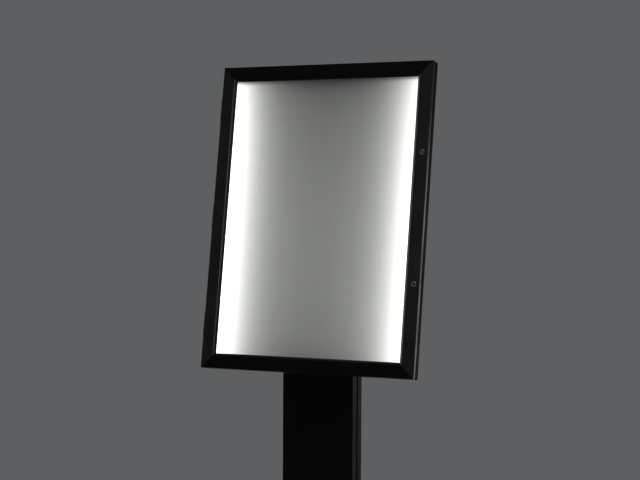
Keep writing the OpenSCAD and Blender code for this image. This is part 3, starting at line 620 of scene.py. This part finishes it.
# ---------------------------------------------------------------------------
# Wiring and power socket: a thin two-core lead from the socket to each strip,
# and a low-voltage socket held through the back panel by its nut.
# ---------------------------------------------------------------------------
# Soft extruded PVC: a waxy red sheath, slightly uneven every couple of millimetres.
pvc_red, pvc_place, pvc_shader = surface("red_pvc_insulation", (2, 2, 2), Roughness=0.4)
pvc_cloud = add(pvc_red, "ShaderNodeTexNoise", {"Vector": pvc_place, "Scale": 1.0})
pvc_shade = add(pvc_red, "ShaderNodeMix", {
    "Factor": pvc_cloud.outputs["Fac"], "A": linear("#8e1210"), "B": linear("#a61a16")}, data_type="RGBA")
join(pvc_red, pvc_shade.outputs["Result"], pvc_shader, "Base Color")
for side in ("left", "right"):
    wire = merged_copy("wire_" + side)
    wire.data.materials.clear()
    wire.data.materials.append(pvc_red)
    apply_modifier(wire, "SUBSURF", levels=1, render_levels=1)
    bpy.ops.object.shade_smooth()
    stand_for(wire, "wire_" + side)
# Moulded ABS: a neutral black with the spark-eroded grain of its mould, about 0.1 mm on the real
# part and drawn at 0.6 mm so that it shows.
moulded_black, mould_place, mould_shader = surface("moulded_black_abs", (0.6, 0.6, 0.6), Roughness=0.5)
mould_grain = add(moulded_black, "ShaderNodeTexNoise", {"Vector": mould_place, "Scale": 1.0, "Detail": 3.0})
mould_shade = add(moulded_black, "ShaderNodeMix", {
    "Factor": mould_grain.outputs["Fac"], "A": linear("#121213"), "B": linear("#1a1a1b")}, data_type="RGBA")
mould_bump = add(moulded_black, "ShaderNodeBump", {
    "Height": mould_grain.outputs["Fac"], "Strength": 0.3, "Distance": 0.00008})
join(moulded_black, mould_shade.outputs["Result"], mould_shader, "Base Color")
join(moulded_black, mould_bump.outputs["Normal"], mould_shader, "Normal")
broken_edges("dc_inlet", moulded_black, 0.3)
broken_edges("inlet_nut", zinc, 0.3)

# ---------------------------------------------------------------------------
# Weather seal: four lengths of extruded black EPDM strip, stuck to the case's
# front rim. The closed door rests on it, and it shows as a dark joint all round.
# ---------------------------------------------------------------------------
broken_edges("seal_strips", rubber, 0.7, 3)

# ---------------------------------------------------------------------------
# Door hinges: three small butt hinges of pressed steel, powder-coated black, on
# zinc plated pins. Each leaf is screwed to a left side wall, the case's or the
# door's, by two small pan-head screws.
# ---------------------------------------------------------------------------
broken_edges("hinge_leaves_case", coated_steel, 0.15)
broken_edges("hinge_leaves_door", coated_steel, 0.15)
broken_edges("hinge_pins", zinc, 0.2)
for owner in ("case", "door"):
    set_out(cross_head_screw("hinge_screw", zinc, 2.0, 0.8, 1.0, 3.2, 2.2), "hinge_screws_" + owner,
            -across, up_door)

# ---------------------------------------------------------------------------
# Door: four mitred extrusions in satin black, whose flat face rolls down to the
# glass, joined by aluminium corner cleats. Snap-in beads of black ABS hold the
# clear acrylic sheet from behind.
# ---------------------------------------------------------------------------
door_stile_black = extrusion_black(
    "satin_black_door_stile", (0.7, 0.7, 140), smooth=0.26, mirror=0.4, turn=-lean)
door_rail_black = extrusion_black(
    "satin_black_door_rail", (140, 0.7, 0.7), smooth=0.3, mirror=0.15, turn=-lean)
for end in ("bottom", "top"):
    broken_edges("door_rail_" + end, door_rail_black, 0.25)
stiles = [broken_edges("door_stile_" + side, door_stile_black, 0.25) for side in ("left", "right")]
# Two accent lights fall on the stiles alone: they draw a thin highlight down each rolled lip.
rolled_lips = bpy.data.collections.new("rolled_lips")
for stile in stiles:
    rolled_lips.objects.link(stile)
for accent in (soft_box("left_lip_strip", (0.34, -2.55, 1.87), (-0.2, 0, 1.07), 0.05, 1.25, 6.5),
               soft_box("right_lip_box", (-2.3, -0.55, 1.45), (0.2, 0, 1.07), 1.5, 1.2, 12.5)):
    accent.light_linking.receiver_collection = rolled_lips
broken_edges("door_corner_cleats", cleat_aluminium, 0.3)
broken_edges("glazing_beads", moulded_black, 0.4)
# Cast acrylic: clear and glossy, with a trace of haze from cleaning that softens what it mirrors.
acrylic, acrylic_place, acrylic_shader = surface(
    "clear_cast_acrylic", (60, 60, 60), -lean, Base_Color=linear("#fbfdfc"),
    Transmission_Weight=1.0, IOR=1.49)
haze = add(acrylic, "ShaderNodeTexNoise", {"Vector": acrylic_place, "Scale": 1.0, "Detail": 4.0})
haze_gloss = add(acrylic, "ShaderNodeMapRange", {
    "Value": haze.outputs["Fac"], "From Min": 0.3, "From Max": 0.7, "To Min": 0.0, "To Max": 0.03})
join(acrylic, haze_gloss.outputs["Result"], acrylic_shader, "Roughness")
broken_edges("glazing", acrylic, 0.2, 1)

# ---------------------------------------------------------------------------
# Cam locks: nickel-plated zinc die-cast housings, held by thin hex nuts, each
# with a turning plug, its keyway, and a pressed steel cam screwed on behind.
# ---------------------------------------------------------------------------
# Satin nickel plate over a die casting: a warm mid-grey metal with soft clouds about 1 mm across.
nickel, nickel_place, nickel_shader = surface(
    "dark_nickel_plated_zinc", (1.2, 1.2, 1.2), -lean, Metallic=1.0)
nickel_cloud = add(nickel, "ShaderNodeTexNoise", {"Vector": nickel_place, "Scale": 1.0, "Detail": 5.0})
nickel_shade = add(nickel, "ShaderNodeMix", {
    "Factor": nickel_cloud.outputs["Fac"], "A": linear("#a09e98"), "B": linear("#bab8b2")},
    data_type="RGBA")
nickel_gloss = add(nickel, "ShaderNodeMapRange", {
    "Value": nickel_cloud.outputs["Fac"], "From Min": 0.3, "From Max": 0.7, "To Min": 0.2, "To Max": 0.34})
join(nickel, nickel_shade.outputs["Result"], nickel_shader, "Base Color")
join(nickel, nickel_gloss.outputs["Result"], nickel_shader, "Roughness")
# The plugs are die castings too, passivated to a darker grey than the nickel round them.
black_zinc = plated_steel("black_passivated_zinc_plug", 1.0, "#58585a", "#6e6e70")
for level in ("upper", "lower"):
    broken_edges("lock_housing_" + level, nickel, 0.25, 3)
    broken_edges("lock_plug_" + level, black_zinc, 0.2, 3)
    broken_edges("lock_cam_" + level, zinc, 0.2)
    broken_edges("cam_screw_" + level, zinc, 0.25)
broken_edges("lock_nuts", nickel, 0.3)

# ---------------------------------------------------------------------------
# A last update of the view layer.
# ---------------------------------------------------------------------------
bpy.context.view_layer.update()
